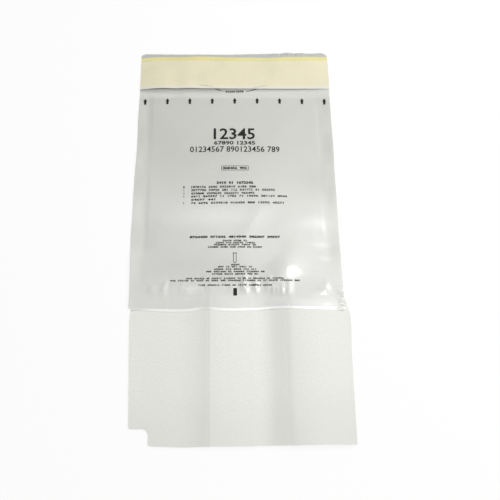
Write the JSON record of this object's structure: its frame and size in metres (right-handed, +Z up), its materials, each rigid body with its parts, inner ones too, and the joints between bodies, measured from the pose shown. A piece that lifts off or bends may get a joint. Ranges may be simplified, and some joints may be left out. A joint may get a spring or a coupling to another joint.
{
  "type": "specimen transport bag",
  "caption": "Flat film bag with a welded specimen chamber, a rear document pouch, a fold-over adhesive closure under peel-off liners, and a folding absorbent sheet.",
  "frame": {"origin": "on the table, under the middle of the bag and its sheet taken together", "axes": "+X across the bag to the right, +Y along the bag towards its mouth, +Z up from the table"},
  "size_m": [0.24, 0.484, 0.0087],
  "materials": {
    "film": "translucent, softly glossy",
    "adhesive": "clear, tacky",
    "yellow_liner": "matt coated paper",
    "white_liner": "matt translucent coated paper",
    "absorbent": "matt non-woven"
  },
  "bodies": {
    "bag": {"front_film": "film", "back_film": "film", "document_pouch_film": "film"},
    "closure_flap": {"front_film_flap": "film", "fold_adhesive": "adhesive"},
    "mouth_lip": {"back_film_flap": "film", "mouth_adhesive": "adhesive"},
    "white_liner": {"white_liner": "white_liner"},
    "yellow_liner": {"yellow_liner": "yellow_liner"},
    "absorbent_sheet": {"absorbent_middle_panel": "absorbent"},
    "sheet_left_side": {"absorbent_left_panel": "absorbent"},
    "sheet_right_side": {"absorbent_right_panel": "absorbent"}
  },
  "joints": [
    {"name": "closure_fold", "type": "hinge", "parent": "bag", "child": "closure_flap", "pos_m": [0, 0.187, 0.00617], "axis": [1, 0, 0], "range_deg": [0, 175]},
    {"name": "mouth_open", "type": "hinge", "parent": "closure_flap", "child": "mouth_lip", "pos_m": [0, 0.187, 0.00015], "axis": [-1, 0, 0], "range_deg": [0, 30]},
    {"name": "white_liner_peel", "type": "slide", "parent": "closure_flap", "child": "white_liner", "axis": [0, 1, 0], "range_m": [0, 0.049]},
    {"name": "yellow_liner_peel", "type": "slide", "parent": "mouth_lip", "child": "yellow_liner", "axis": [0, 1, 0], "range_m": [0, 0.049]},
    {"name": "sheet_pull", "type": "slide", "parent": "bag", "child": "absorbent_sheet", "axis": [0, -1, 0], "range_m": [0, 0.066]},
    {"name": "left_panel_fold", "type": "hinge", "parent": "absorbent_sheet", "child": "sheet_left_side", "pos_m": [-0.034, 0, -0.00015], "axis": [0, -1, 0], "range_deg": [0, 165]},
    {"name": "right_panel_fold", "type": "hinge", "parent": "absorbent_sheet", "child": "sheet_right_side", "pos_m": [0.051, 0, -0.00015], "axis": [0, 1, 0], "range_deg": [0, 178]}
  ]
}
